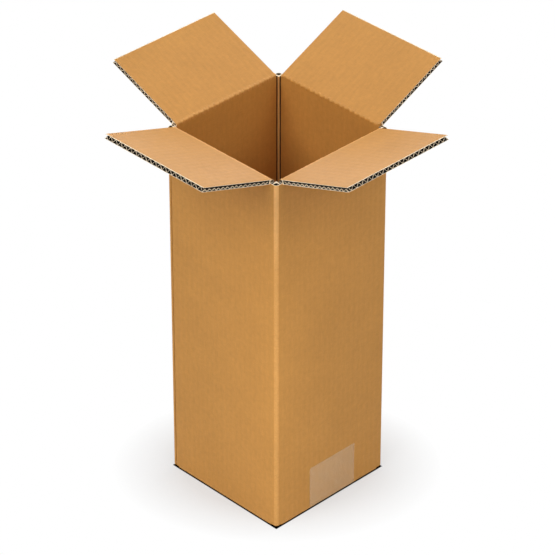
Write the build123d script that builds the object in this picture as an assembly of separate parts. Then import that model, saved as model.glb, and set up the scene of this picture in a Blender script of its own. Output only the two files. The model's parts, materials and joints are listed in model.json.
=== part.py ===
from build123d import *
import os
from math import asin, atan2, cos, degrees, floor, hypot, radians, sin, tan

# Tall square corrugated box, standing open with its four top flaps splayed outwards.
# Millimetres and degrees. The origin is the middle of the base, +Z is up, and the wall
# names are as seen with one vertical corner towards the viewer: front left faces -Y,
# front right +X, back right +Y and back left -X.

# Box
OUTSIDE_WIDTH = 160.0
CREASE_HEIGHT = 427.0
BOARD = 5.5
CORNER_RADIUS = 4.0
CORNER_BEAD_RADIUS = 2.6
SLOT_DEPTH = 3.0

# Top flaps: from the crease line to the free edge, with the outward lean from upright
FLAP_LENGTH = 99.0
FLAP_INSET = 9.0
LEAN_ANGLE_FRONT_LEFT = 71.5
LEAN_ANGLE_FRONT_RIGHT = 71.0
LEAN_ANGLE_BACK_LEFT = 68.0
LEAN_ANGLE_BACK_RIGHT = 65.0

# Crushed creases of the top flaps
FOLD_LIMIT_ANGLE = 140.0
CREASE_HALF_GAP = 0.5

# Corrugated section of the flaps
LINER = 0.5
MEDIUM = 0.4
FLUTE_PITCH = 7.2
FLUTE_CREST_RADIUS = 1.2
FLUTE_START = 2.0
EDGE_STRIP = 0.6

# Folded base
BASE_FOLD_RADIUS = 3.0
SEAM_GAP = 1.0
LAYER_GAP = 0.4

# Glue tab inside the front left wall
TAB_WIDTH = 35.0
TAB_THICKNESS = 2.0
TAB_END_GAP = 12.0
TAB_TAPER = 10.0
JOINT_GAP = 0.8
JOINT_DEPTH = 1.2

# Packing tape over the seam of the base
TAPE_WIDTH = 67.0
TAPE_THICKNESS = 0.1
TAPE_RISE = 54.0
TAPE_OFFSET = 3.0

half_width = OUTSIDE_WIDTH / 2
inside_half = half_width - BOARD
half_board = BOARD / 2
flap_half_width = half_width - FLAP_INSET
crease_offset = half_width - half_board
nose_angle = radians((180.0 - FOLD_LIMIT_ANGLE) / 2)
nose_half_width = CREASE_HALF_GAP * tan(nose_angle)
taper_length = half_board / tan(nose_angle)
inner_layer_low = BOARD + LAYER_GAP
inner_layer_high = inner_layer_low + BOARD
seam = half_width - SEAM_GAP / 2

# Each wall is drawn upright on the -Y side and turned about Z to its own side
TURN_ANGLE_FRONT_LEFT = 0.0
TURN_ANGLE_FRONT_RIGHT = 90.0
TURN_ANGLE_BACK_RIGHT = 180.0
TURN_ANGLE_BACK_LEFT = 270.0


def wall_from(profile_below):
    """A wall with its bottom flap: the wall's tapered top edge, then the given points of
    the base, as (distance in from the outer face, height), swept along the wall."""
    taper_foot = CREASE_HEIGHT - taper_length
    nose = CREASE_HEIGHT - CREASE_HALF_GAP
    points = [
        (0, taper_foot),
        (half_board - nose_half_width, nose),
        (half_board + nose_half_width, nose),
        (BOARD, taper_foot),
    ]
    section = Polygon(*points, *profile_below, align=None)
    fold = section.vertices().sort_by(Axis.Y)[:3].sort_by(Axis.X)[0]
    section = fillet(fold, BASE_FOLD_RADIUS)
    upright = Plane(origin=(0, -half_width, 0), x_dir=(0, 1, 0), z_dir=(1, 0, 0))
    return extrude(upright * section, flap_half_width, both=True)


def outer_base_wall():
    """A wall whose bottom flap is the lower layer of the base."""
    return wall_from([(BOARD, BOARD), (seam, BOARD), (seam, 0), (0, 0)])


def inner_base_wall():
    """A wall whose bottom flap rises from its fold and lies on the outer flaps."""
    return wall_from([
        (BOARD, inner_layer_high),
        (seam, inner_layer_high),
        (seam, inner_layer_low),
        (FLAP_INSET - LAYER_GAP, inner_layer_low),
        (BASE_FOLD_RADIUS + LAYER_GAP, TAPE_THICKNESS),
        (0, TAPE_THICKNESS),
    ])


def corner_post(with_bead):
    """The folded vertical corner between the slots, drawn at the front (+X, -Y). A fold
    pushes a round bead into the inside corner."""
    ring = RectangleRounded(OUTSIDE_WIDTH, OUTSIDE_WIDTH, CORNER_RADIUS)
    ring -= Rectangle(2 * inside_half, 2 * inside_half)
    corner = Pos(half_width, -half_width) * Rectangle(2 * FLAP_INSET, 2 * FLAP_INSET)
    section = ring & corner
    if with_bead:
        section += Pos(inside_half, -inside_half) * Circle(CORNER_BEAD_RADIUS)
    height = CREASE_HEIGHT - 2 * SLOT_DEPTH
    return extrude(Pos(0, 0, SLOT_DEPTH) * section, height)


def glue_tab():
    """The crushed tab that closes the sheet into a tube, against the -Y wall's inside."""
    low = inner_layer_high + TAB_END_GAP
    high = CREASE_HEIGHT - taper_length - TAB_END_GAP
    outline = Polygon(
        (-inside_half, low),
        (-inside_half + TAB_WIDTH, low + TAB_TAPER),
        (-inside_half + TAB_WIDTH, high - TAB_TAPER),
        (-inside_half, high),
        align=None,
    )
    wall_face = Plane(origin=(0, -inside_half, 0), x_dir=(1, 0, 0), z_dir=(0, -1, 0))
    return extrude(wall_face * outline, -TAB_THICKNESS)


def box_body():
    body = outer_base_wall()
    body += Rot(0, 0, TURN_ANGLE_BACK_RIGHT) * outer_base_wall()
    body += Rot(0, 0, TURN_ANGLE_FRONT_RIGHT) * inner_base_wall()
    body += Rot(0, 0, TURN_ANGLE_BACK_LEFT) * inner_base_wall()
    for quarter in range(3):
        body += Rot(0, 0, 90 * quarter) * corner_post(with_bead=True)
    body += Rot(0, 0, TURN_ANGLE_BACK_LEFT) * corner_post(with_bead=False)
    body += glue_tab()
    joint_height = CREASE_HEIGHT / 2
    body -= Pos(-inside_half, -half_width, joint_height) * Box(JOINT_GAP, 2 * JOINT_DEPTH, CREASE_HEIGHT)
    body -= Pos(0, TAPE_OFFSET, 0) * Box(OUTSIDE_WIDTH, TAPE_WIDTH, 2 * TAPE_THICKNESS)
    return body


def flute_channel(height):
    """One open channel of the board: flat on a liner, with the medium's rounded crest
    over it. height is +1 for a crest towards +Y and -1 for one towards -Y."""
    liner_face = half_board - LINER
    crest_centre = liner_face - MEDIUM / 2 - FLUTE_CREST_RADIUS
    centres = hypot(FLUTE_PITCH / 2, 2 * crest_centre)
    slope = atan2(2 * crest_centre, FLUTE_PITCH / 2) + asin(2 * FLUTE_CREST_RADIUS / centres)
    radius = FLUTE_CREST_RADIUS - MEDIUM / 2
    side = radius * sin(slope)
    shoulder = crest_centre + radius * cos(slope)
    foot = side + (shoulder + liner_face) / tan(slope)
    crest = crest_centre + radius
    outline = Polyline((-side, height * shoulder), (-foot, -height * liner_face),
                       (foot, -height * liner_face), (side, height * shoulder))
    arch = ThreePointArc((side, height * shoulder), (0, height * crest), (-side, height * shoulder))
    return make_face(outline + arch), foot


def flap():
    """A flap standing upright on the crease line, its outer face towards -Y, with its
    flutes open at the free edge and pressed flat towards the crease."""
    points = [
        (-nose_half_width, CREASE_HALF_GAP),
        (nose_half_width, CREASE_HALF_GAP),
        (half_board, taper_length),
        (half_board, FLAP_LENGTH),
        (-half_board, FLAP_LENGTH),
        (-half_board, taper_length),
    ]
    side_view = Plane(origin=(0, 0, 0), x_dir=(0, 1, 0), z_dir=(1, 0, 0))
    board = extrude(side_view * Polygon(*points, align=None), flap_half_width, both=True)
    up_channel, foot = flute_channel(1)
    down_channel, _ = flute_channel(-1)
    step = FLUTE_PITCH / 2
    steps = floor(2 * (flap_half_width - EDGE_STRIP - foot) / step)
    start = taper_length + FLUTE_START
    channels = []
    for index in range(steps + 1):
        channel = up_channel if index % 2 == 0 else down_channel
        across = (index - steps / 2) * step
        channels.append(extrude(Pos(across, 0, start) * channel, FLAP_LENGTH - start))
    return board - channels


def top_flap(lean, turn):
    """A flap on the wall that is turned about Z, leaning outwards."""
    return Rot(0, 0, turn) * Pos(0, -crease_offset, CREASE_HEIGHT) * Rot(lean, 0, 0) * flap()


def bottom_tape():
    """The strip under the base seam, folded up the front right and back left walls."""
    def trough(half, low, high, radius):
        outline = Polygon((-half, high), (-half, low), (half, low), (half, high), align=None)
        return fillet(outline.vertices().sort_by(Axis.Y)[:2], radius)

    outside = trough(half_width + TAPE_THICKNESS, 0, TAPE_RISE, BASE_FOLD_RADIUS + TAPE_THICKNESS)
    inside = trough(half_width, TAPE_THICKNESS, TAPE_RISE + TAPE_THICKNESS, BASE_FOLD_RADIUS)
    along = Plane(origin=(0, TAPE_OFFSET, 0), x_dir=(1, 0, 0), z_dir=(0, -1, 0))
    return extrude(along * (outside - inside), TAPE_WIDTH / 2, both=True)


nodes = {
    "box_body": box_body(),
    "top_flap_front_left": top_flap(LEAN_ANGLE_FRONT_LEFT, TURN_ANGLE_FRONT_LEFT),
    "top_flap_front_right": top_flap(LEAN_ANGLE_FRONT_RIGHT, TURN_ANGLE_FRONT_RIGHT),
    "top_flap_back_left": top_flap(LEAN_ANGLE_BACK_LEFT, TURN_ANGLE_BACK_LEFT),
    "top_flap_back_right": top_flap(LEAN_ANGLE_BACK_RIGHT, TURN_ANGLE_BACK_RIGHT),
    "bottom_tape": bottom_tape(),
}

os.makedirs("parts", exist_ok=True)
for name, shape in nodes.items():
    export_step(shape, f"parts/{name}.step")
    print(name, round(shape.volume, 1))
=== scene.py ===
import json
import math

import bmesh
import bpy
from bpy.props import FloatProperty, FloatVectorProperty, PointerProperty
from mathutils import Matrix, Vector, noise


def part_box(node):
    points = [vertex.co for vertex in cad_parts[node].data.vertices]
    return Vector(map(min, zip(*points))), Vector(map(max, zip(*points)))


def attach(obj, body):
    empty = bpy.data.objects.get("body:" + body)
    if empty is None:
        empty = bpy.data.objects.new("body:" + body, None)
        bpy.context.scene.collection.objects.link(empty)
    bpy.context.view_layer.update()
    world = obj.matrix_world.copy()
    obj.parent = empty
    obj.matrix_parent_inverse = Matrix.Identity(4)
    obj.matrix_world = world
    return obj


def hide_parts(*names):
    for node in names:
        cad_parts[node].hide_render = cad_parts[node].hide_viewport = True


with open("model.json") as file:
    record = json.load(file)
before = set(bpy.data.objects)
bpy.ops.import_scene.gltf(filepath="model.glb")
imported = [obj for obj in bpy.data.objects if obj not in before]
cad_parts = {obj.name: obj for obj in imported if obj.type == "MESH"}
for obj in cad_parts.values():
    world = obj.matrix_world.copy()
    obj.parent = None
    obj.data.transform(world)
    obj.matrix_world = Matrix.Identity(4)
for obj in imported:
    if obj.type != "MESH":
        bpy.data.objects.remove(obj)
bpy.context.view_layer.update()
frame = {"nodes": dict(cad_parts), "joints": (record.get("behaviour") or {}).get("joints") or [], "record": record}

bl_info = {
    "name": "Open cardboard box",
    "version": (1, 0, 0),
    "blender": (4, 5, 0),
    "location": "3D View > Sidebar > Cardboard Box",
    "description": "Builds a tall corrugated box with four splayed top flaps and a taped base",
    "category": "Add Mesh",
}

MILLIMETRE = 0.001
QUARTER_TURN = math.pi / 2

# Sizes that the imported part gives: the walls, the crease lines, the flaps and the tape
CREASES = {joint["child"]: joint for joint in frame["joints"]}
BODY_NODES = frame["record"]["behaviour"]["bodies"]
FLAP_NODES = {body: BODY_NODES[body][0] for body in CREASES}
TAPE_LOW, TAPE_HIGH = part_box("bottom_tape")
FIRST_CREASE = Vector(next(iter(CREASES.values()))["pos_m"])
HALF_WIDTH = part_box("box_body")[1].x
CREASE_HEIGHT = FIRST_CREASE.z
CREASE_OFFSET = max(abs(FIRST_CREASE.x), abs(FIRST_CREASE.y))
BOARD = 2 * (HALF_WIDTH - CREASE_OFFSET)
INSIDE_HALF = HALF_WIDTH - BOARD
FLAP_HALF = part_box("top_flap_front_left")[1].x
FLAP_LIFT = {body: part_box(node)[1].z - CREASE_HEIGHT for body, node in FLAP_NODES.items()}
TAPE_THICKNESS = TAPE_HIGH.x - HALF_WIDTH

# Material slots that every board mesh has, in this order; the last one is the medium and the board's hollows,
# painted near black as their shade
LINER_SLOT, CUT_SLOT, FLUTE_SHADE_SLOT = 0, 1, 2

# Edges that turn by more than this many degrees stay sharp
SMOOTH_DEGREES = 40

# Walls: rows of points up a wall, closer near its folds, steps along it and its crushed top
WALL_ROWS = [height * MILLIMETRE for height in (4.2, 6, 12, 24, 48, 96, 200, 300, 370, 400, 412)]
WALL_STEPS = 160
CRUSHED_TOP = 7 * MILLIMETRE

# Base: the gaps at its seam and between its layers, and where the inner layer lies level
SEAM_GAP = 1.0 * MILLIMETRE
LAYER_GAP = 0.4 * MILLIMETRE
INNER_LAYER_START = 8.6 * MILLIMETRE
LOWER_LAYER_TOP = BOARD * 1.02

# Vertical corners: how far they end below the crease lines, and the bead inside a fold
CORNER_DROP = 0.4 * MILLIMETRE
BEAD_OFFSET = 0.4 * MILLIMETRE
BEAD_RADIUS = 1.3 * MILLIMETRE

# Groove beside a bead, in millimetres from the inner faces; its faces are painted near black as the groove's shade
BEAD_GROOVE = ((3.3, 0.0), (3.0, -2.2), (2.0, -2.2))

# Open flutes at a corner's ends, in millimetres from the outer faces, and their depth
FOLD_CELL = (
    (5.3, 0.6), (2.6, 0.7), (1.5, 1.5), (0.7, 2.6),
    (0.6, 5.3), (3.0, 5.4), (4.8, 4.8), (5.4, 3.0),
)
SIDE_CELL = ((8.8, 0.7), (5.9, 0.7), (7.3, 4.6))
CELL_DEPTH = 4 * MILLIMETRE

# Glue tab inside the front left wall, and the joint that it closes
TAB_WIDTH = 35 * MILLIMETRE
TAB_TAPER = 10 * MILLIMETRE
TAB_THICKNESS = 2 * MILLIMETRE
TAB_SUNK = 0.5 * MILLIMETRE
TAB_ABOVE_BASE = 12.4 * MILLIMETRE
TAB_BELOW_CREASE = 19.6 * MILLIMETRE
JOINT_HALF_GAP = 0.4 * MILLIMETRE
JOINT_DEPTH = 1.2 * MILLIMETRE
JOINT_OVERRUN = 10 * MILLIMETRE

# Wear: a flap's lift over its crease at which none shows, and the drop to full wear
UNWORN_LIFT = 45 * MILLIMETRE
WEAR_SPAN = 12 * MILLIMETRE

# Share of fold colour on the front corner, wear of the foot, and where the corner's grows, as
# shares of its height; near its top the corner is painted as lit by light between the flaps
FRONT_CORNER_PALE = 0.52
FOOT_WEAR = 0.35
CORNER_ROW = 0.74
CORNER_PAINTED_LIGHT_START = 0.9

# Flaps: steps along one, its pinched side borders, and where liners and medium start
FLAP_STEPS = 158
SIDE_BORDER = 1.5 * MILLIMETRE
LINER_ROOT = 4 * MILLIMETRE
MEDIUM_ROOT = 5 * MILLIMETRE
POINTS_PER_WAVE = 12

# Torn medium along a flap's side edges, and how much of its height wear takes away
TORN_PITCH = 6.4 * MILLIMETRE
TORN_RUN = 1.6 * MILLIMETRE
TORN_PAPER = 0.5 * MILLIMETRE
TORN_INSET = 0.3 * MILLIMETRE
TORN_SAG = 0.45

# Tape: the width and depth of the teeth at its ends, and the air between it and the board
TOOTH_WIDTH = 1.2 * MILLIMETRE
TOOTH_DEPTH = 0.45 * MILLIMETRE
TAPE_AIR = 0.03 * MILLIMETRE

# Wide lamps, named as their strengths: turn from the camera and height, in degrees
WIDE_LAMPS = {
    "key_left": (-50, 40),
    "key_right": (50, 40),
    "rim_left": (-130, 52),
    "rim_right": (130, 40),
    "back_low": (180, 12),
    "sheen": (0, 90),
}
LAMP_ANGLE = math.radians(40)
LAMP_DISTANCE = 3.0

# Strip light in front of the nearest corner, in metres
STRIP_WIDTH = 0.1
STRIP_LENGTH = 0.36
STRIP_DISTANCE = 0.3
STRIP_HEIGHT = 0.19

# Floor, in metres: its half side, and the half axes of the oval that keeps the box's shadow
FLOOR_HALF = 15
SHADOW_OVAL = (0.17, 0.13, 1.0)


class BoardSizes(bpy.types.PropertyGroup):
    """Sizes of the corrugated board and its folds."""

    liner: FloatProperty(
        name="Liner", description="Thickness that a liner shows at a cut edge",
        default=0.4 * MILLIMETRE, unit="LENGTH", subtype="DISTANCE")
    medium: FloatProperty(
        name="Medium", description="Thickness of the corrugated medium",
        default=0.3 * MILLIMETRE, unit="LENGTH", subtype="DISTANCE")
    flute_pitch: FloatProperty(
        name="Flute pitch", description="Length of one wave of the medium",
        default=7.2 * MILLIMETRE, unit="LENGTH", subtype="DISTANCE")
    corner_radius: FloatProperty(
        name="Corner radius", description="Outside radius of the folded vertical corners",
        default=4.0 * MILLIMETRE, unit="LENGTH", subtype="DISTANCE")
    slot_depth: FloatProperty(
        name="Slot depth", description="How far the slots run past the folds of the base",
        default=3.0 * MILLIMETRE, unit="LENGTH", subtype="DISTANCE")
    base_fold: FloatProperty(
        name="Base fold", description="Outside radius of the folds round the base",
        default=3.0 * MILLIMETRE, unit="LENGTH", subtype="DISTANCE")
    crease_radius: FloatProperty(
        name="Crease radius", description="Radius of the crushed board on a flap's crease line",
        default=2.4 * MILLIMETRE, unit="LENGTH", subtype="DISTANCE")


class FinishColours(bpy.types.PropertyGroup):
    """Colours of the board, the tape and the floor."""

    kraft: FloatVectorProperty(
        name="Kraft liner", description="Colour of the liners",
        default=(0.58, 0.275, 0.064), subtype="COLOR", size=3)
    # Also painted light on the front corner's top and a painted highlight on the inner beads
    fold: FloatVectorProperty(
        name="Worn fold", description="Colour of the stretched fibres along the folds",
        default=(0.86, 0.46, 0.16), subtype="COLOR", size=3)
    cut: FloatVectorProperty(
        name="Cut edge", description="Colour of the board where it is cut",
        default=(0.95, 0.78, 0.55), subtype="COLOR", size=3)
    # Painted shade: the medium is near black as the shade inside the flutes
    fluting_shade: FloatVectorProperty(
        name="Fluting", description="Colour of the corrugated medium",
        default=(0.015, 0.007, 0.003), subtype="COLOR", size=3)
    tape: FloatVectorProperty(
        name="Tape", description="Colour of the haze of the clear tape",
        default=(0.9, 0.67, 0.38), subtype="COLOR", size=3)
    floor: FloatVectorProperty(
        name="Floor", description="Colour of the studio floor",
        default=(0.6, 0.6, 0.6), subtype="COLOR", size=3)


class StageSettings(bpy.types.PropertyGroup):
    """Where the camera stands and how strong the lamps are."""

    azimuth: FloatProperty(
        name="Azimuth", description="Camera's turn round the box",
        default=math.radians(45.64), unit="ROTATION", subtype="ANGLE")
    elevation: FloatProperty(
        name="Elevation", description="Camera's angle above the horizon",
        default=math.radians(33.42), unit="ROTATION", subtype="ANGLE")
    distance: FloatProperty(
        name="Distance", description="From the camera to the point that it aims at",
        default=3.732, unit="LENGTH", subtype="DISTANCE")
    aim_height: FloatProperty(
        name="Aim height", description="Height of the point that the camera aims at",
        default=0.2441, unit="LENGTH", subtype="DISTANCE")
    lens: FloatProperty(
        name="Lens", description="Focal length on a 36 mm sensor",
        default=231.4, unit="CAMERA")
    key_left: FloatProperty(
        name="Left key", description="Strength of the lamp at the front left", default=1.68)
    key_right: FloatProperty(
        name="Right key", description="Strength of the lamp at the front right", default=1.04)
    rim_left: FloatProperty(
        name="Left rim", description="Strength of the lamp at the back left", default=0.76)
    rim_right: FloatProperty(
        name="Right rim", description="Strength of the lamp at the back right", default=1.18)
    back_low: FloatProperty(
        name="Low back light", description="Strength of the low lamp behind", default=0.72)
    sheen: FloatProperty(
        name="Sheen", description="Strength of the overhead lamp that only shows as gloss", default=4.6)
    strip_light: FloatProperty(
        name="Strip light", description="Power of the low lamp in front", default=0.19, unit="POWER")
    ambient: FloatProperty(
        name="Ambient", description="Strength of the light from all round", default=0.03)


# Meshes

def object_from(name, mesh, materials=()):
    """A new object at the origin, linked to the scene, with the given material slots."""
    for material in materials:
        mesh.materials.append(material)
    made = bpy.data.objects.new(name, mesh)
    bpy.context.scene.collection.objects.link(made)
    return made


def mesh_from(name, bm):
    """A plain mesh from a bmesh, which is freed."""
    mesh = bpy.data.meshes.new(name)
    bm.to_mesh(mesh)
    bm.free()
    return mesh


def loft(bm, rings, roles=None, cap_role=CUT_SLOT):
    """Joins closed rings of equal length by quads and caps both ends. roles gives the
    material slot of the strip that starts at each point of a ring."""
    loops = [[bm.verts.new(point) for point in ring] for ring in rings]
    count = len(rings[0])
    for one, two in zip(loops, loops[1:]):
        for index in range(count):
            after = (index + 1) % count
            face = bm.faces.new((one[index], one[after], two[after], two[index]))
            if roles:
                face.material_index = roles[index]
    for loop in (loops[0][::-1], loops[-1]):
        bm.faces.new(loop).material_index = cap_role
    bmesh.ops.recalc_face_normals(bm, faces=bm.faces)


def arc(centre, radius, start, end, steps):
    """Points on an arc in a plane, with angles in degrees."""
    points = []
    for step in range(steps + 1):
        angle = math.radians(start + (end - start) * step / steps)
        points.append((centre[0] + radius * math.cos(angle), centre[1] + radius * math.sin(angle)))
    return points


def spaced(low, high, count):
    """count + 1 evenly spaced values."""
    return [low + (high - low) * step / count for step in range(count + 1)]


def in_millimetres(points):
    """Points of a plan that is written in millimetres, in metres."""
    return [(a * MILLIMETRE, b * MILLIMETRE) for a, b in points]


def smooth_by_angle(mesh):
    """Smooth shading that keeps the sharp edges."""
    mesh.shade_smooth()
    mesh.set_sharp_from_angle(angle=math.radians(SMOOTH_DEGREES))


def waver(along, across, scale, size):
    """A smooth offset of at most about size, which changes over one part in scale of a metre."""
    return size * noise.noise(Vector((along * scale, across * scale, 0.37)))


def crease_dents(along, wear, sizes):
    """Height of the crushed flutes along a crease line, which wear flattens."""
    wave = math.sin(2 * math.pi * along / sizes.flute_pitch)
    size = (0.65 - 0.5 * wear * wear) * MILLIMETRE
    return size * wave + waver(along, 0.0, 120, 0.45 * MILLIMETRE)


def crease_wear(point):
    """Wear on the crease nearest to a point: a flap that leans out further shows more."""
    def nearness(body):
        pivot = CREASES[body]["pos_m"]
        return point.x * pivot[0] + point.y * pivot[1]

    lift = FLAP_LIFT[max(CREASES, key=nearness)]
    return min(1.0, max(0.0, (UNWORN_LIFT - lift) / WEAR_SPAN))


def write_depth(mesh, depth):
    """Writes the point attribute "depth": how far the medium lies inside its cut edge, which sets where its
    painted shade starts.
    """
    attribute = mesh.attributes.new("depth", "FLOAT", "POINT")
    for vertex, value in zip(mesh.vertices, attribute.data):
        value.value = depth(vertex.co)


def write_pattern(mesh, place, fold):
    """Writes the UV map "board", in metres, and the point attribute "fold": wear, painted light and painted
    highlights.
    """
    layer = mesh.uv_layers.new(name="board")
    for polygon in mesh.polygons:
        for index in polygon.loop_indices:
            point = mesh.vertices[mesh.loops[index].vertex_index].co
            layer.data[index].uv = place(point, polygon.normal)
    attribute = mesh.attributes.new("fold", "FLOAT", "POINT")
    for vertex, value in zip(mesh.vertices, attribute.data):
        value.value = fold(vertex.co)


# Nodes

class Nodes:
    """Short ways to add and link nodes in a material or a node group."""

    def __init__(self, tree):
        self.tree = tree

    def add(self, kind, inputs=None, **settings):
        """A new node with its settings, and its inputs set or linked."""
        made = self.tree.nodes.new(kind)
        for key, value in settings.items():
            setattr(made, key, value)
        for key, value in (inputs or {}).items():
            self.set(made.inputs[key], value)
        return made

    def set(self, socket, value):
        """Links another node's socket to a socket, or sets a plain value on it."""
        if isinstance(value, bpy.types.NodeSocket):
            self.tree.links.new(value, socket)
        else:
            socket.default_value = value

    def math(self, operation, *values):
        """The result of one Math node."""
        made = self.add("ShaderNodeMath", operation=operation)
        for socket, value in zip(made.inputs, values):
            self.set(socket, value)
        return made.outputs[0]

    def noise(self, vector, scale, detail=2.0, roughness=0.5):
        """Noise from 0 to 1."""
        made = self.add("ShaderNodeTexNoise", {
            "Vector": vector, "Scale": scale, "Detail": detail, "Roughness": roughness})
        return made.outputs["Fac"]

    def stretched(self, vector, scale):
        """Coordinates with a scale for each axis."""
        made = self.add("ShaderNodeMapping", {"Vector": vector, "Scale": scale})
        return made.outputs[0]

    def ramp(self, value, low, high, bottom=0.0, top=1.0):
        """A value that goes from bottom to top as another goes from low to high."""
        made = self.add("ShaderNodeMapRange", {
            "Value": value, "From Min": low, "From Max": high, "To Min": bottom, "To Max": top})
        return made.outputs[0]

    def mix(self, factor, one, two):
        """A blend of two colours."""
        made = self.add("ShaderNodeMix", data_type="RGBA")
        self.set(made.inputs[0], factor)
        self.set(made.inputs[6], one)
        self.set(made.inputs[7], two)
        return made.outputs[2]


def group_of(name, inputs, outputs, kind="ShaderNodeTree"):
    """An empty node group with named sockets, and the sockets inside it."""
    tree = bpy.data.node_groups.new(name, kind)
    for label, value in inputs.items():
        tree.interface.new_socket(name=label, in_out="INPUT", socket_type="NodeSocket" + value)
    for label, value in outputs.items():
        tree.interface.new_socket(name=label, in_out="OUTPUT", socket_type="NodeSocket" + value)
    return tree, tree.nodes.new("NodeGroupInput").outputs, tree.nodes.new("NodeGroupOutput").inputs


# Walls and base

def base_points(inner_layer, sizes):
    """The inside of a wall from its foot, and its bottom flap, as (distance in, height)."""
    seam = HALF_WIDTH - SEAM_GAP / 2
    if not inner_layer:
        return [(BOARD, BOARD), (seam, BOARD), (seam, 0.0)]
    low = BOARD + LAYER_GAP
    high = low + BOARD
    return [
        (BOARD, high),
        (seam, high),
        (seam, low),
        (INNER_LAYER_START, low),
        (sizes.base_fold + LAYER_GAP, TAPE_THICKNESS),
    ]


def wall_ring(along, inner_layer, wear, sizes):
    """One section of a wall at a place along it, with its half-round crease at the top."""
    fold = sizes.base_fold
    low = TAPE_THICKNESS if inner_layer else 0.0
    ring = [(u, z + low) for u, z in arc((fold, fold), fold, 270, 180, 8)]
    ring += [(0.0, height) for height in WALL_ROWS]
    ring.append((0.0, CREASE_HEIGHT - CRUSHED_TOP))
    for u, z in arc((BOARD / 2, CREASE_HEIGHT), sizes.crease_radius, 180, 0, 14):
        ring.append((u, z + crease_dents(along, wear, sizes)))
    ring.append((BOARD, CREASE_HEIGHT - CRUSHED_TOP))
    ring += [(BOARD, height) for height in reversed(WALL_ROWS[2:])]
    return ring + base_points(inner_layer, sizes)


def wall_part(name, inner_layer, turn, sizes, materials):
    """A wall with its bottom flap, drawn on the -Y side and turned about Z."""
    turned = Matrix.Rotation(turn, 3, "Z")
    wear = crease_wear(turned @ Vector((0, -HALF_WIDTH, 0)))
    bm = bmesh.new()
    rings = []
    for along in spaced(-FLAP_HALF, FLAP_HALF, WALL_STEPS):
        ring = wall_ring(along, inner_layer, wear, sizes)
        rings.append([Vector((along, u - HALF_WIDTH, z)) for u, z in ring])
    loft(bm, rings, cap_role=LINER_SLOT)
    bmesh.ops.rotate(bm, verts=bm.verts, matrix=turned)
    return object_from(name, mesh_from(name, bm), materials)


def post_outline(folded, sizes):
    """Plan of a vertical corner, as distances in from its two outer faces."""
    reach = HALF_WIDTH - FLAP_HALF
    radius = sizes.corner_radius
    outline = [(reach, 0.0)]
    outline += arc((radius, radius), radius, 270, 180, 10)
    outline += [(0.0, reach), (BOARD, reach)]
    roles = [LINER_SLOT] * len(outline)
    if folded:
        groove = [(BOARD + u, BOARD + v) for u, v in in_millimetres(BEAD_GROOVE)]
        middle = BOARD + BEAD_OFFSET
        bead = arc((middle, middle), BEAD_RADIUS, 150, -60, 12)
        outline += [(v, u) for u, v in groove] + bead + groove[::-1]
        # Painted shade: the grooves beside the bead take the near-black medium
        shaded = [FLUTE_SHADE_SLOT] * len(groove)
        roles += shaded + [LINER_SLOT] * (len(bead) - 1) + shaded + [LINER_SLOT]
    else:
        outline.append((BOARD, BOARD))
        roles.append(LINER_SLOT)
    outline.append((reach, BOARD))
    return outline, roles + [LINER_SLOT]


def prism(name, outline, roles, heights, turn, materials):
    """An upright prism from a plan at the front corner, turned about Z."""
    bm = bmesh.new()
    rings = []
    for height in heights:
        rings.append([Vector((HALF_WIDTH - a, b - HALF_WIDTH, height)) for a, b in outline])
    loft(bm, rings, roles)
    bmesh.ops.rotate(bm, verts=bm.verts, matrix=Matrix.Rotation(turn, 3, "Z"))
    return object_from(name, mesh_from(name, bm), materials)


def open_cells(ends, turn, materials):
    """Cutters for the open flutes at the ends of a vertical corner: one in the fold and one
    in the board on each side of it. Their faces are painted near black as the shade inside."""
    other_side = [(b, a) for a, b in reversed(SIDE_CELL)]
    cells = []
    for plan in (FOLD_CELL, SIDE_CELL, other_side):
        for level in ends:
            heights = (level - CELL_DEPTH, level + CELL_DEPTH)
            cell = prism("cell", in_millimetres(plan), None, heights, turn, materials)
            for polygon in cell.data.polygons:
                polygon.material_index = FLUTE_SHADE_SLOT
            cells.append(cell)
    return cells


def glue_tab(materials):
    """The tab that closes the sheet into a tube, inside the front left wall."""
    low = 2 * BOARD + TAB_ABOVE_BASE
    high = CREASE_HEIGHT - TAB_BELOW_CREASE
    plan = [(0, low), (TAB_WIDTH, low + TAB_TAPER), (TAB_WIDTH, high - TAB_TAPER), (0, high)]
    bm = bmesh.new()
    rings = []
    for depth in (-TAB_SUNK, TAB_THICKNESS):
        rings.append([Vector((x - INSIDE_HALF, depth - INSIDE_HALF, z)) for x, z in plan])
    loft(bm, rings, cap_role=LINER_SLOT)
    return object_from("glue_tab", mesh_from("glue_tab", bm), materials)


def joint_groove(materials):
    """Cutter for the narrow gap where the sheet's two ends meet, on the front left wall."""
    half, depth = JOINT_HALF_GAP, JOINT_DEPTH
    plan = [(-half, -depth), (half, -depth), (half, depth), (-half, depth)]
    bm = bmesh.new()
    rings = []
    for height in (-JOINT_OVERRUN, CREASE_HEIGHT + JOINT_OVERRUN):
        rings.append([Vector((u - INSIDE_HALF, v - HALF_WIDTH, height)) for u, v in plan])
    loft(bm, rings)
    return object_from("joint_groove", mesh_from("joint_groove", bm), materials)


def combine(name, added, cut):
    """One closed mesh: the added objects united, less the cut ones. The objects are removed."""
    base = added[0]
    for operation, others in (("UNION", added[1:]), ("DIFFERENCE", cut)):
        group = bpy.data.collections.new(name + operation)
        for other in others:
            group.objects.link(other)
        modifier = base.modifiers.new(operation, "BOOLEAN")
        modifier.operation = operation
        modifier.solver = "EXACT"
        modifier.operand_type = "COLLECTION"
        modifier.collection = group
    graph = bpy.context.evaluated_depsgraph_get()
    mesh = bpy.data.meshes.new_from_object(base.evaluated_get(graph))
    mesh.name = name
    for piece in (*added, *cut):
        bpy.data.objects.remove(piece)
    for operation in ("UNION", "DIFFERENCE"):
        bpy.data.collections.remove(bpy.data.collections[name + operation])
    return mesh


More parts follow.
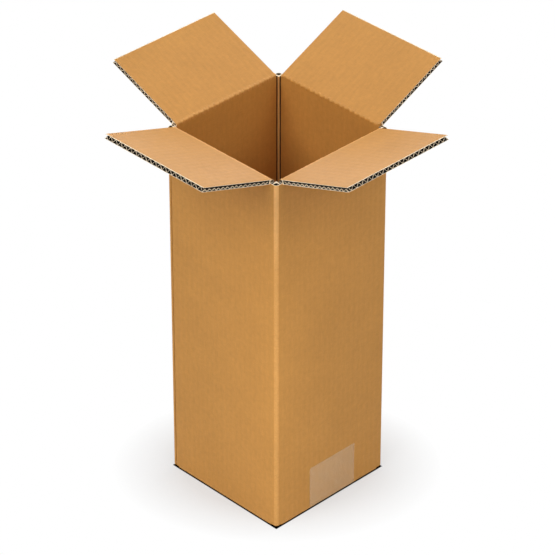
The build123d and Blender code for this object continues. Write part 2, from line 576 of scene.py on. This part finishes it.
def round_the_walls(point, normal):
    """Distance round the box and height, so that a pattern runs on over the corners. On level
    faces, the place on the base, turned for its upper layer."""
    if abs(normal.z) > 0.7:
        return (point.x, point.y) if point.z < LOWER_LAYER_TOP else (point.y, point.x)
    if abs(normal.x) > abs(normal.y):
        side = point.y + 2 * HALF_WIDTH if point.x > 0 else 6 * HALF_WIDTH - point.y
    else:
        side = point.x if point.y < 0 else 4 * HALF_WIDTH - point.x
    return side, point.z


def wall_wear_and_light(point, sizes):
    """How much of the fold colour a point of the walls shows, from 0 to 1: wear on the creases and
    the foot, a paler front corner painted as lit near its top, and a painted highlight on the beads.
    """
    margin = 0.2 * MILLIMETRE
    corner = HALF_WIDTH - (sizes.corner_radius - margin)
    x, y = abs(point.x), abs(point.y)
    if x > corner and y > corner:
        if not point.x > 0 > point.y:
            return 0.0
        # Painted light: the front corner is paler, and fully pale near its top where light comes in between the
        # flaps
        return 1.0 if point.z > CORNER_PAINTED_LIGHT_START * CREASE_HEIGHT else FRONT_CORNER_PALE
    if point.z > CREASE_HEIGHT - margin:
        return crease_wear(point)
    on_wall = min(x, y) < FLAP_HALF - 0.1 * MILLIMETRE
    on_foot = point.z < 1.5 * sizes.base_fold and max(x, y) > HALF_WIDTH - 1.6 * MILLIMETRE
    if on_wall and on_foot:
        return FOOT_WEAR
    # Painted highlight: the bead in each inner fold is pale as if it caught the light
    bead_start, bead_end = INSIDE_HALF - 2.2 * MILLIMETRE, INSIDE_HALF + 0.6 * MILLIMETRE
    if bead_start < min(x, y) and max(x, y) < bead_end:
        return 1.0
    return 0.0


# Top flaps

class FlapPlace:
    """Where a flap stands at rest: its crease line, the way its outer face looks and the
    way to its free edge."""

    def __init__(self, body):
        joint = CREASES[body]
        self.pivot = Vector(joint["pos_m"])
        axis = Vector(joint["axis"]).normalized()
        points = [vertex.co - self.pivot for vertex in frame["nodes"][FLAP_NODES[body]].data.vertices]
        spread = [point - axis * point.dot(axis) for point in points]
        reach = max(point.length for point in spread)
        far = [point for point in spread if point.length > reach - 0.1 * MILLIMETRE]
        middle = sum(far, Vector()) / len(far)
        self.length = middle.length
        self.up = middle.normalized()
        outward = Vector((self.pivot.x, self.pivot.y, 0)).normalized()
        self.out = (outward - self.up * outward.dot(self.up)).normalized()
        self.along = self.out.cross(self.up)
        self.half = max(abs(point.dot(axis)) for point in points)

    def matrix(self):
        """From (along the crease, out of the outer face, up the flap) to the frame."""
        turned = Matrix((self.along, self.out, self.up)).transposed().to_4x4()
        return Matrix.Translation(self.pivot) @ turned


def flap_ring(along, place, wear, sizes, seed):
    """One section of a flap, as (out, up, slot): a crushed root and two liners, which are
    pinched at the flap's side edges and ragged at its free edge."""
    liner = sizes.liner
    knuckle = sizes.crease_radius
    end = place.length
    near_side = max(0.0, 1 - (place.half - abs(along)) / SIDE_BORDER)
    pinch = 0.2 * MILLIMETRE * near_side
    outer = BOARD / 2 - pinch
    inner = -BOARD / 2 + pinch
    press = 0.08 * MILLIMETRE
    tuck = 0.25 * MILLIMETRE
    rag = [waver(along, seed + row, 260, 0.3 * MILLIMETRE) for row in range(4)]
    shoulder = 4.5 * MILLIMETRE
    lip = end - 2 * MILLIMETRE
    rows = [10 * MILLIMETRE, 35 * MILLIMETRE, 70 * MILLIMETRE, lip]
    front_end = end - 0.15 * MILLIMETRE
    back_end = end - 0.2 * MILLIMETRE
    ring = [(knuckle, 0.0, LINER_SLOT), (outer - press, shoulder, LINER_SLOT)]
    ring += [(outer, row, LINER_SLOT) for row in rows]
    ring += [
        (outer - tuck, front_end + rag[0], CUT_SLOT),
        (outer - tuck - liner, back_end + rag[1], FLUTE_SHADE_SLOT),
        (outer - liner, lip, FLUTE_SHADE_SLOT),
        (knuckle - liner, LINER_ROOT, FLUTE_SHADE_SLOT),
        (liner - knuckle, LINER_ROOT, FLUTE_SHADE_SLOT),
        (inner + liner, lip, FLUTE_SHADE_SLOT),
        (inner + tuck + liner, back_end + rag[2], CUT_SLOT),
        (inner + tuck, front_end + rag[3], CUT_SLOT),
        (inner + 0.6 * tuck, end - 0.9 * MILLIMETRE, LINER_SLOT),
    ]
    ring += [(inner, row, LINER_SLOT) for row in reversed(rows)]
    ring.append((inner + press, shoulder, LINER_SLOT))
    for out, up in arc((0.0, 0.0), knuckle, 180, 360, 12)[:-1]:
        ring.append((out, up - crease_dents(along, wear, sizes), LINER_SLOT))
    return ring


def flap_shell(place, wear, sizes, seed):
    """The two liners of a flap and its crushed root, on the crease line at the origin."""
    bm = bmesh.new()
    near = place.half - SIDE_BORDER
    stations = [-place.half, *spaced(-near, near, FLAP_STEPS), place.half]
    sections = [flap_ring(along, place, wear, sizes, seed) for along in stations]
    rings = []
    for along, section in zip(stations, sections):
        rings.append([Vector((along, out, up)) for out, up, _ in section])
    loft(bm, rings, [role for _, _, role in sections[0]])
    mesh = mesh_from("flap_shell", bm)
    write_depth(mesh, lambda point: place.length)
    return mesh


def medium_tree():
    """Node tree of a corrugated sheet: a wave along X that fills a height in Y and runs
    along Z, with ragged ends."""
    tree, given, out = group_of("corrugated_medium", {
        "Width": "Float", "Run": "Float", "Height": "Float", "Pitch": "Float", "Paper": "Float",
        "Wobble": "Float", "Points": "Int", "Seed": "Float", "Material": "Material",
    }, {"Geometry": "Geometry"}, "GeometryNodeTree")
    nodes = Nodes(tree)

    half = nodes.math("MULTIPLY", given["Width"], 0.5)
    start = nodes.add("ShaderNodeCombineXYZ", {"X": nodes.math("MULTIPLY", half, -1.0)})
    stop = nodes.add("ShaderNodeCombineXYZ", {"X": half})
    line = nodes.add("GeometryNodeMeshLine", {
        "Count": given["Points"], "Start Location": start.outputs[0], "Offset": stop.outputs[0],
    }, mode="END_POINTS")
    position = nodes.add("GeometryNodeInputPosition").outputs[0]
    across = nodes.add("ShaderNodeSeparateXYZ", {0: position}).outputs["X"]

    def wander(scale, shift):
        """Noise along the wave, round 0."""
        place = nodes.math("ADD", across, nodes.math("ADD", given["Seed"], shift))
        made = nodes.add("ShaderNodeTexNoise", {
            "W": place, "Scale": scale, "Detail": 1.0}, noise_dimensions="1D")
        return nodes.math("SUBTRACT", made.outputs["Fac"], 0.5)

    turns = nodes.math("DIVIDE", across, given["Pitch"])
    drift = nodes.math("MULTIPLY", wander(110.0, 3.1), given["Wobble"])
    phase = nodes.math("MULTIPLY", nodes.math("ADD", turns, drift), 2 * math.pi)
    rounding = 0.94
    wave = nodes.math("ARCSINE", nodes.math("MULTIPLY", nodes.math("SINE", phase), rounding))
    wave = nodes.math("DIVIDE", wave, math.asin(rounding))
    squeeze = nodes.math("ABSOLUTE", nodes.math("MULTIPLY", wander(170.0, 7.7), given["Wobble"]))
    reach = nodes.math("MULTIPLY", given["Height"], nodes.math("SUBTRACT", 0.5, squeeze))
    bent = nodes.add("ShaderNodeCombineXYZ", {"X": across, "Y": nodes.math("MULTIPLY", wave, reach)})
    waved = nodes.add("GeometryNodeSetPosition", {
        "Geometry": line.outputs["Mesh"], "Position": bent.outputs[0]})

    path = nodes.add("GeometryNodeMeshToCurve", {"Mesh": waved.outputs["Geometry"]})
    upright = nodes.add("GeometryNodeSetCurveNormal", {"Curve": path.outputs["Curve"]}, mode="Z_UP")
    section = nodes.add("GeometryNodeCurvePrimitiveQuadrilateral", {
        "Width": given["Paper"], "Height": given["Run"]}, mode="RECTANGLE")
    sheet = nodes.add("GeometryNodeCurveToMesh", {
        "Curve": upright.outputs["Curve"], "Profile Curve": section.outputs["Curve"],
        "Fill Caps": True})

    rag = nodes.math("MULTIPLY", wander(420.0, 11.3), 0.6 * MILLIMETRE)
    shift = nodes.add("ShaderNodeCombineXYZ", {"Z": rag})
    ragged = nodes.add("GeometryNodeSetPosition", {
        "Geometry": sheet.outputs["Mesh"], "Offset": shift.outputs[0]})
    real = nodes.add("GeometryNodeRealizeInstances", {"Geometry": ragged.outputs["Geometry"]})
    finish = nodes.add("GeometryNodeSetMaterial", {
        "Geometry": real.outputs["Geometry"], "Material": given["Material"]})
    nodes.set(out["Geometry"], finish.outputs["Geometry"])
    return tree


def medium_sheet(tree, material, width, run, height, pitch, paper, wobble, seed):
    """A plain mesh of one corrugated sheet from the tree, whose waves fill the height."""
    values = {
        "Width": width, "Run": run, "Height": height - paper, "Pitch": pitch, "Paper": paper,
        "Wobble": wobble, "Points": round(width / pitch * POINTS_PER_WAVE), "Seed": seed,
        "Material": material,
    }
    holder = object_from("medium_holder", bpy.data.meshes.new("medium_holder"))
    modifier = holder.modifiers.new("medium", "NODES")
    modifier.node_group = tree
    for item in tree.interface.items_tree:
        if item.in_out == "INPUT":
            modifier[item.identifier] = values[item.name]
    graph = bpy.context.evaluated_depsgraph_get()
    mesh = bpy.data.meshes.new_from_object(holder.evaluated_get(graph))
    bpy.data.objects.remove(holder)
    return mesh


def add_sheet(bm, mesh, matrix, run, open_end):
    """Adds a corrugated sheet to a flap, with its end faces as cut edges. open_end is 1 or
    -1, for the end of the run that shows."""
    mesh.update()
    write_depth(mesh, lambda point: run / 2 - open_end * point.z)
    for polygon in mesh.polygons:
        polygon.material_index = CUT_SLOT if abs(polygon.normal.z) > 0.8 else FLUTE_SHADE_SLOT
    mesh.transform(matrix)
    bm.from_mesh(mesh)
    bpy.data.meshes.remove(mesh)


def flap_mesh(name, place, wear, seed, tree, sizes, materials):
    """A flap on the crease line at the origin: liners, corrugated medium and the torn medium
    along its side edges."""
    shell = flap_shell(place, wear, sizes, seed)
    bm = bmesh.new()
    bm.from_mesh(shell)
    bpy.data.meshes.remove(shell)
    material = materials[FLUTE_SHADE_SLOT]
    inside = BOARD - 2 * sizes.liner - 0.1 * MILLIMETRE
    run = place.length - MEDIUM_ROOT - 0.2 * MILLIMETRE
    middle = MEDIUM_ROOT + run / 2
    core = medium_sheet(
        tree, material, width=2 * (place.half - 2 * MILLIMETRE), run=run, height=inside,
        pitch=sizes.flute_pitch, paper=sizes.medium, wobble=0.12, seed=seed)
    add_sheet(bm, core, Matrix.Translation((0, 0, middle)), run, 1)
    torn_height = (1 - TORN_SAG * wear) * inside
    sag = (inside - torn_height) / 2
    waves_up_flap = Matrix(((0, 0, -1), (0, 1, 0), (1, 0, 0))).to_4x4()
    for side in (-1, 1):
        torn = medium_sheet(
            tree, material, width=run, run=TORN_RUN, height=torn_height,
            pitch=TORN_PITCH, paper=TORN_PAPER, wobble=0.25, seed=seed + 5 + side)
        offset = side * (place.half - TORN_RUN / 2 - TORN_INSET)
        lift = Matrix.Translation((offset, sag, middle))
        add_sheet(bm, torn, lift @ waves_up_flap, TORN_RUN, -side)
    return mesh_from(name, bm)


def build_flap(body, index, tree, sizes, materials):
    """A top flap in its place, on its own body."""
    place = FlapPlace(body)
    wear = crease_wear(place.pivot)
    seed = 13.0 * (index + 1)
    mesh = flap_mesh("cardboard_" + body, place, wear, seed, tree, sizes, materials)

    def pattern(point, normal):
        """Place on the liners, the free edge or a side edge, with a start of its own."""
        if abs(normal.y) > 0.5:
            return point.x + seed, CREASE_HEIGHT + point.z
        if abs(normal.z) > 0.5:
            return point.x + seed, point.y
        return point.z + seed, point.y

    def fold(point):
        """Wear that fades away from the crease."""
        return max(0.0, wear * (1 - max(0.0, point.z) / (2.5 * MILLIMETRE)))

    write_pattern(mesh, pattern, fold)
    smooth_by_angle(mesh)
    mesh.transform(place.matrix())
    made = object_from("cardboard_" + body, mesh, materials)
    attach(made, body)
    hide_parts(FLAP_NODES[body])


# Tape

def tape_path(sizes):
    """The tape's outer line from end to end under the base, as (across, height)."""
    radius = sizes.base_fold + TAPE_THICKNESS
    outer = HALF_WIDTH + TAPE_THICKNESS
    right = [(outer, height) for height in spaced(TAPE_HIGH.z, radius, 10)[:-1]]
    right += arc((outer - radius, radius), radius, 0, -90, 6)
    return right + [(-x, z) for x, z in reversed(right)]


def tape_mesh(sizes):
    """The folded strip with toothed ends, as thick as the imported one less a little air."""
    path = tape_path(sizes)
    count = 2 * round((TAPE_HIGH.y - TAPE_LOW.y) / (2 * TOOTH_WIDTH))
    bm = bmesh.new()
    rows = []
    for step, across in enumerate(spaced(TAPE_LOW.y, TAPE_HIGH.y, count)):
        row = [Vector((x, across, z)) for x, z in path]
        for end in (row[0], row[-1]):
            end.z -= TOOTH_DEPTH * (step % 2)
        rows.append([bm.verts.new(point) for point in row])
    for one, two in zip(rows, rows[1:]):
        for index in range(len(path) - 1):
            bm.faces.new((one[index], one[index + 1], two[index + 1], two[index]))
    bmesh.ops.recalc_face_normals(bm, faces=bm.faces)
    middle = Vector((0, 0, TAPE_HIGH.z / 2))
    if sum((face.calc_center_median() - middle).dot(face.normal) for face in bm.faces) < 0:
        bmesh.ops.reverse_faces(bm, faces=bm.faces)
    bmesh.ops.solidify(bm, geom=bm.faces[:], thickness=TAPE_THICKNESS - TAPE_AIR)
    return mesh_from("packing_tape", bm)


# Materials

def paper_fibre_group():
    """Clouds, fibres and specks of unbleached paper, as a tone round 1 and a height."""
    tree, given, out = group_of(
        "paper_fibre",
        {"Board": "Vector", "Clouds": "Float", "Fibres": "Float", "Specks": "Float"},
        {"Tone": "Float", "Height": "Float"})
    nodes = Nodes(tree)
    board = given["Board"]
    cloud = nodes.noise(board, 16.0, 4.0, 0.6)
    blotch = nodes.noise(board, 170.0, 4.0, 0.65)
    lying = nodes.noise(nodes.stretched(board, (160.0, 1500.0, 1.0)), 1.0, 3.0, 0.6)
    rising = nodes.noise(nodes.stretched(board, (1300.0, 90.0, 1.0)), 1.0, 3.0, 0.6)
    speck = nodes.ramp(nodes.noise(board, 1100.0, 2.0, 0.5), 0.66, 0.76)
    clouds = nodes.math("ADD", nodes.math("SUBTRACT", cloud, 0.5), nodes.math("SUBTRACT", blotch, 0.5))
    fibres = nodes.math("ADD", nodes.math("SUBTRACT", lying, 0.5), nodes.math("SUBTRACT", rising, 0.5))
    tone = nodes.math("MULTIPLY_ADD", clouds, given["Clouds"], 1.0)
    tone = nodes.math("MULTIPLY_ADD", fibres, given["Fibres"], tone)
    tone = nodes.math("SUBTRACT", tone, nodes.math("MULTIPLY", speck, given["Specks"]))
    nodes.set(out["Tone"], tone)
    nodes.set(out["Height"], nodes.math("ADD", fibres, clouds))
    return tree


def wear_and_painted_light_group():
    """A fold's mask, of wear and painted light, with its border frayed by the paper's fibres."""
    tree, given, out = group_of(
        "worn_fold", {"Board": "Vector", "Mask": "Float", "Fray": "Float"}, {"Mask": "Float"})
    nodes = Nodes(tree)
    grain = nodes.noise(given["Board"], 500.0, 3.0, 0.6)
    frayed = nodes.math("MULTIPLY_ADD", nodes.math("SUBTRACT", grain, 0.5), given["Fray"], given["Mask"])
    nodes.set(out["Mask"], nodes.math("MULTIPLY", nodes.ramp(frayed, 0.15, 0.75), given["Mask"]))
    return tree


def new_material(name):
    """A material with its nodes, the Principled shader, and the UV map of the board."""
    material = bpy.data.materials.new(name)
    material.use_nodes = True
    nodes = Nodes(material.node_tree)
    shader = material.node_tree.nodes["Principled BSDF"]
    board = nodes.add("ShaderNodeUVMap", uv_map="board").outputs[0]
    return material, nodes, shader, board


def place_group(nodes, tree, inputs):
    """A node group in a material, with its own values."""
    made = nodes.add("ShaderNodeGroup", node_tree=tree)
    for key, value in inputs.items():
        nodes.set(made.inputs[key], value)
    return made.outputs


def toned(nodes, colour, tone):
    """A colour made lighter or darker by a tone round 1."""
    return nodes.add("ShaderNodeHueSaturation", {"Color": colour, "Value": tone}).outputs[0]


def solid(colour):
    """A colour property as the four numbers that a socket takes."""
    return (*colour, 1.0)


def raise_surface(nodes, shader, height, strength, distance):
    """Bumps a material's surface by a height."""
    bump = nodes.add("ShaderNodeBump", {"Strength": strength, "Distance": distance, "Height": height})
    nodes.set(shader.inputs["Normal"], bump.outputs[0])


def bare_paper(nodes, shader, colour, fibre, strength):
    """Gives a shader the rough surface of paper that has no smooth face."""
    nodes.set(shader.inputs["Base Color"], toned(nodes, colour, fibre["Tone"]))
    nodes.set(shader.inputs["Roughness"], nodes.ramp(fibre["Tone"], 0.7, 1.3, 0.95, 0.8))
    raise_surface(nodes, shader, fibre["Height"], strength, 0.3 * MILLIMETRE)


def kraft_liner(colours, sizes, groups):
    """Smooth brown paper that lets the flutes show faintly, by bumps and a painted shade, and pales
    where it is folded: wear, with painted light and painted highlights where the fold attribute gives them.
    """
    _, nodes, shader, board = new_material("kraft_liner")
    fibre = place_group(nodes, groups["paper_fibre"], {
        "Board": board, "Clouds": 0.22, "Fibres": 0.24, "Specks": 0.14})
    mask = nodes.add("ShaderNodeAttribute", attribute_name="fold").outputs["Fac"]
    fold = place_group(nodes, groups["worn_fold"], {"Board": board, "Mask": mask, "Fray": 0.7})
    across = nodes.add("ShaderNodeSeparateXYZ", {0: board}).outputs["X"]
    flutes = nodes.math("SINE", nodes.math("MULTIPLY", across, 2 * math.pi / sizes.flute_pitch))
    # Painted shade: the flutes under the liner darken and lighten its colour a little
    tone = nodes.math("MULTIPLY_ADD", flutes, 0.012, fibre["Tone"])
    paper = toned(nodes, solid(colours.kraft), tone)
    # The fold colour: worn fibres, and painted light on the front corner's top and the beads
    wear_and_light_tint = toned(nodes, solid(colours.fold), fibre["Tone"])
    nodes.set(shader.inputs["Base Color"], nodes.mix(fold["Mask"], paper, wear_and_light_tint))
    nodes.set(shader.inputs["Roughness"], nodes.ramp(fibre["Tone"], 0.8, 1.2, 0.46, 0.34))
    shader.inputs["Specular IOR Level"].default_value = 0.11
    height = nodes.math("MULTIPLY_ADD", flutes, 0.5, fibre["Height"])
    raise_surface(nodes, shader, height, 0.12, 0.4 * MILLIMETRE)


def cut_edge(colours, groups):
    """Pale, rough paper where a blade went through the board."""
    _, nodes, shader, board = new_material("cut_edge")
    fibre = place_group(nodes, groups["paper_fibre"], {
        "Board": board, "Clouds": 0.5, "Fibres": 0.35, "Specks": 0.4})
    bare_paper(nodes, shader, solid(colours.cut), fibre, 0.3)


def fluting_paper(colours, groups):
    """The medium, painted near black as the shade inside the flutes, and pale just inside its cut
    edge as painted light where light gets in.
    """
    _, nodes, shader, board = new_material("fluting_paper")
    fibre = place_group(nodes, groups["paper_fibre"], {
        "Board": board, "Clouds": 0.3, "Fibres": 0.25, "Specks": 0.2})
    depth = nodes.add("ShaderNodeAttribute", attribute_name="depth").outputs["Fac"]
    # Painted light within a millimetre of the cut, painted shade deeper in
    painted_light_near_cut = nodes.ramp(depth, 0.3 * MILLIMETRE, 1.0 * MILLIMETRE, 1.0, 0.0)
    paper = nodes.mix(painted_light_near_cut, solid(colours.fluting_shade), solid(colours.cut))
    bare_paper(nodes, shader, paper, fibre, 0.2)


def clear_tape(colours):
    """Clear film with an uneven haze and fine lines where it was pulled off its roll."""
    material, nodes, shader, board = new_material("clear_tape")
    haze = nodes.noise(board, 60.0, 3.0, 0.6)
    pulled = nodes.noise(nodes.stretched(board, (900.0, 14.0, 1.0)), 1.0, 2.0, 0.5)
    veil = nodes.math("ADD", nodes.math("MULTIPLY", haze, 0.6), nodes.math("MULTIPLY", pulled, 0.4))
    tone = nodes.ramp(veil, 0.3, 0.7, 0.96, 1.04)
    nodes.set(shader.inputs["Alpha"], nodes.ramp(veil, 0.3, 0.7, 0.22, 0.28))
    nodes.set(shader.inputs["Base Color"], toned(nodes, solid(colours.tape), tone))
    nodes.set(shader.inputs["Roughness"], nodes.ramp(haze, 0.3, 0.7, 0.2, 0.32))
    raise_surface(nodes, shader, pulled, 0.1, 0.3 * MILLIMETRE)
    return material


def board_materials(scene):
    """The three board materials in slot order, made once."""
    names = ("kraft_liner", "cut_edge", "fluting_paper")
    if names[0] not in bpy.data.materials:
        groups = {"paper_fibre": paper_fibre_group(), "worn_fold": wear_and_painted_light_group()}
        kraft_liner(scene.box_colours, scene.box_board, groups)
        cut_edge(scene.box_colours, groups)
        fluting_paper(scene.box_colours, groups)
    return [bpy.data.materials[name] for name in names]


# Stage

def direction(turn, rise):
    """Unit vector towards a place given by its turn round the box and angle above the horizon."""
    return Vector((math.sin(turn) * math.cos(rise), -math.cos(turn) * math.cos(rise), math.sin(rise)))


def hang_lamp(lamp, back, place):
    """Puts a lamp in the scene at a place, shining against the direction back."""
    made = bpy.data.objects.new(lamp.name, lamp)
    made.rotation_euler = back.to_track_quat("Z", "Y").to_euler()
    made.location = place
    made.visible_camera = False
    bpy.context.scene.collection.objects.link(made)
    return made


def wide_lamp(name, strength, back):
    """A wide, even lamp from one direction."""
    lamp = bpy.data.lights.new(name, "SUN")
    lamp.energy = strength
    lamp.angle = LAMP_ANGLE
    return hang_lamp(lamp, back, back * LAMP_DISTANCE)


def strip_light(power, turn):
    """An upright flat lamp close in front of the nearest corner."""
    lamp = bpy.data.lights.new("strip_light", "AREA")
    lamp.energy = power
    lamp.shape = "RECTANGLE"
    lamp.size = STRIP_WIDTH
    lamp.size_y = STRIP_LENGTH
    back = direction(turn, 0)
    hang_lamp(lamp, back, back * STRIP_DISTANCE + Vector((0, 0, STRIP_HEIGHT)))


def shown_directly(nodes):
    """1 for what the camera, a gloss or clear tape shows, 0 for light on the object."""
    path = nodes.add("ShaderNodeLightPath").outputs
    seen = nodes.math("MAXIMUM", path["Is Camera Ray"], path["Is Glossy Ray"])
    return nodes.math("MAXIMUM", seen, path["Is Transmission Ray"])


def floor_material(scene):
    """A pale floor that shows the box's shadow near it and is white further out. Under the
    box and up to its foot it is painted black, as the box's contact shadow."""
    material = bpy.data.materials.new("studio_floor")
    material.use_nodes = True
    nodes = Nodes(material.node_tree)
    shader = material.node_tree.nodes["Principled BSDF"]
    shader.inputs["Roughness"].default_value = 0.9
    shader.inputs["Specular IOR Level"].default_value = 0.0
    glow = nodes.add("ShaderNodeEmission", {"Strength": 1.0})
    place = nodes.add("ShaderNodeTexCoord").outputs["Object"]
    oval = nodes.add("ShaderNodeMapping", {
        "Vector": place, "Rotation": (0, 0, scene.box_stage.azimuth), "Scale": SHADOW_OVAL,
    }, vector_type="TEXTURE").outputs[0]
    away = nodes.add("ShaderNodeVectorMath", {0: oval}, operation="LENGTH").outputs["Value"]
    white = nodes.ramp(away, 0.6, 1.05, 0.5, 1.0)
    apart = nodes.add("ShaderNodeSeparateXYZ", {0: place}).outputs
    beside = nodes.math("MAXIMUM", *[nodes.math("ABSOLUTE", apart[axis]) for axis in ("X", "Y")])
    # Painted shadow: black under the box and up to its foot
    outside_painted_shadow = nodes.ramp(beside, HALF_WIDTH - 0.2 * MILLIMETRE, HALF_WIDTH + 0.6 * MILLIMETRE)
    tone = nodes.mix(outside_painted_shadow, (0.0, 0.0, 0.0, 1.0), solid(scene.box_colours.floor))
    nodes.set(shader.inputs["Base Color"], tone)
    white = nodes.math("MULTIPLY", white, outside_painted_shadow)
    share = nodes.math("MULTIPLY", shown_directly(nodes), white)
    mixed = nodes.add("ShaderNodeMixShader", {0: share, 1: shader.outputs[0], 2: glow.outputs[0]})
    output = material.node_tree.nodes["Material Output"]
    nodes.set(output.inputs["Surface"], mixed.outputs[0])
    return material


def studio_floor(scene):
    """A wide, flat floor under the box."""
    material = floor_material(scene)
    bm = bmesh.new()
    bmesh.ops.create_grid(bm, x_segments=8, y_segments=8, size=FLOOR_HALF)
    object_from("studio_floor", mesh_from("studio_floor", bm), [material])


def studio_world(scene):
    """A world that looks white and gives only a little light."""
    scene.world = bpy.data.worlds.new("studio")
    scene.world.use_nodes = True
    nodes = Nodes(scene.world.node_tree)
    background = scene.world.node_tree.nodes["Background"]
    level = nodes.ramp(shown_directly(nodes), 0.0, 1.0, scene.box_stage.ambient, 1.0)
    nodes.set(background.inputs["Strength"], level)
    background.inputs["Color"].default_value = (1.0, 1.0, 1.0, 1.0)


def photo_camera(scene):
    """The camera at the photograph's viewing angle."""
    stage = scene.box_stage
    data = bpy.data.cameras.new("photo_camera")
    data.sensor_width = 36
    data.lens = stage.lens
    made = bpy.data.objects.new("photo_camera", data)
    scene.collection.objects.link(made)
    back = direction(stage.azimuth, stage.elevation)
    made.location = Vector((0, 0, stage.aim_height)) + back * stage.distance
    made.rotation_euler = back.to_track_quat("Z", "Y").to_euler()
    scene.camera = made


# Operators

class BOX_OT_walls(bpy.types.Operator):
    """Build the four walls with their folded corners and the bottom flaps"""

    bl_idname = "cardboard_box.walls"
    bl_label = "Walls and base"

    def execute(self, context):
        sizes = context.scene.box_board
        materials = board_materials(context.scene)
        added = []
        for index, inner_layer in enumerate((False, True, False, True)):
            turn = index * QUARTER_TURN
            added.append(wall_part(f"wall_{index}", inner_layer, turn, sizes, materials))
        cut = []
        low, high = sizes.slot_depth, CREASE_HEIGHT - CORNER_DROP
        for index, folded in enumerate((True, True, True, False)):
            turn = index * QUARTER_TURN
            plan, roles = post_outline(folded, sizes)
            heights = (low, CORNER_ROW * CREASE_HEIGHT, high)
            added.append(prism(f"post_{index}", plan, roles, heights, turn, materials))
            cut += open_cells((low, high), turn, materials)
        added.append(glue_tab(materials))
        cut.append(joint_groove(materials))
        mesh = combine("cardboard_walls", added, cut)
        write_depth(mesh, lambda point: CREASE_HEIGHT)
        write_pattern(mesh, round_the_walls, lambda point: wall_wear_and_light(point, sizes))
        smooth_by_angle(mesh)
        made = object_from("cardboard_walls", mesh)
        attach(made, "box")
        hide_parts("box_body")
        return {"FINISHED"}


class BOX_OT_flaps(bpy.types.Operator):
    """Build the four top flaps with their open flutes"""

    bl_idname = "cardboard_box.flaps"
    bl_label = "Top flaps"

    def execute(self, context):
        tree = medium_tree()
        materials = board_materials(context.scene)
        for index, body in enumerate(CREASES):
            build_flap(body, index, tree, context.scene.box_board, materials)
        return {"FINISHED"}


class BOX_OT_tape(bpy.types.Operator):
    """Lay the clear tape under the base and up two walls, with toothed ends"""

    bl_idname = "cardboard_box.tape"
    bl_label = "Packing tape"

    def execute(self, context):
        mesh = tape_mesh(context.scene.box_board)

        def pattern(point, normal):
            return point.y, point.z + abs(point.x)

        write_pattern(mesh, pattern, lambda point: 0.0)
        smooth_by_angle(mesh)
        made = object_from("packing_tape", mesh, [clear_tape(context.scene.box_colours)])
        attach(made, "box")
        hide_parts("bottom_tape")
        return {"FINISHED"}


class BOX_OT_stage(bpy.types.Operator):
    """Set up the floor, the lamps, the world and the camera"""

    bl_idname = "cardboard_box.stage"
    bl_label = "Studio stage"

    def execute(self, context):
        scene = context.scene
        stage = scene.box_stage
        studio_floor(scene)
        lamps = {}
        for name, (turn, rise) in WIDE_LAMPS.items():
            back = direction(stage.azimuth + math.radians(turn), math.radians(rise))
            lamps[name] = wide_lamp(name, getattr(stage, name), back)
        lamps["sheen"].visible_diffuse = False
        strip_light(stage.strip_light, stage.azimuth)
        studio_world(scene)
        photo_camera(scene)
        scene.view_settings.view_transform = "Standard"
        return {"FINISHED"}


class BOX_PT_panel(bpy.types.Panel):
    """Sizes, colours and steps of the cardboard box"""

    bl_label = "Cardboard Box"
    bl_idname = "BOX_PT_panel"
    bl_space_type = "VIEW_3D"
    bl_region_type = "UI"
    bl_category = "Cardboard Box"

    def draw(self, context):
        for name in SETTINGS:
            settings = getattr(context.scene, name)
            column = self.layout.column(align=True)
            for label in settings.__annotations__:
                column.prop(settings, label)
        for operator in OPERATORS:
            self.layout.operator(operator.bl_idname)


SETTINGS = {"box_board": BoardSizes, "box_colours": FinishColours, "box_stage": StageSettings}
OPERATORS = (BOX_OT_walls, BOX_OT_flaps, BOX_OT_tape, BOX_OT_stage)


def register():
    """Registers the settings, the operators and the panel."""
    for kind in (*SETTINGS.values(), *OPERATORS, BOX_PT_panel):
        bpy.utils.register_class(kind)
    for name, kind in SETTINGS.items():
        setattr(bpy.types.Scene, name, PointerProperty(type=kind))


def unregister():
    """Takes back what register did."""
    for name in SETTINGS:
        delattr(bpy.types.Scene, name)
    for kind in (BOX_PT_panel, *reversed(OPERATORS), *reversed(SETTINGS.values())):
        bpy.utils.unregister_class(kind)


def main():
    register()
    bpy.ops.cardboard_box.walls()
    bpy.ops.cardboard_box.flaps()
    bpy.ops.cardboard_box.tape()
    bpy.ops.cardboard_box.stage()


if __name__ == "__main__":
    main()
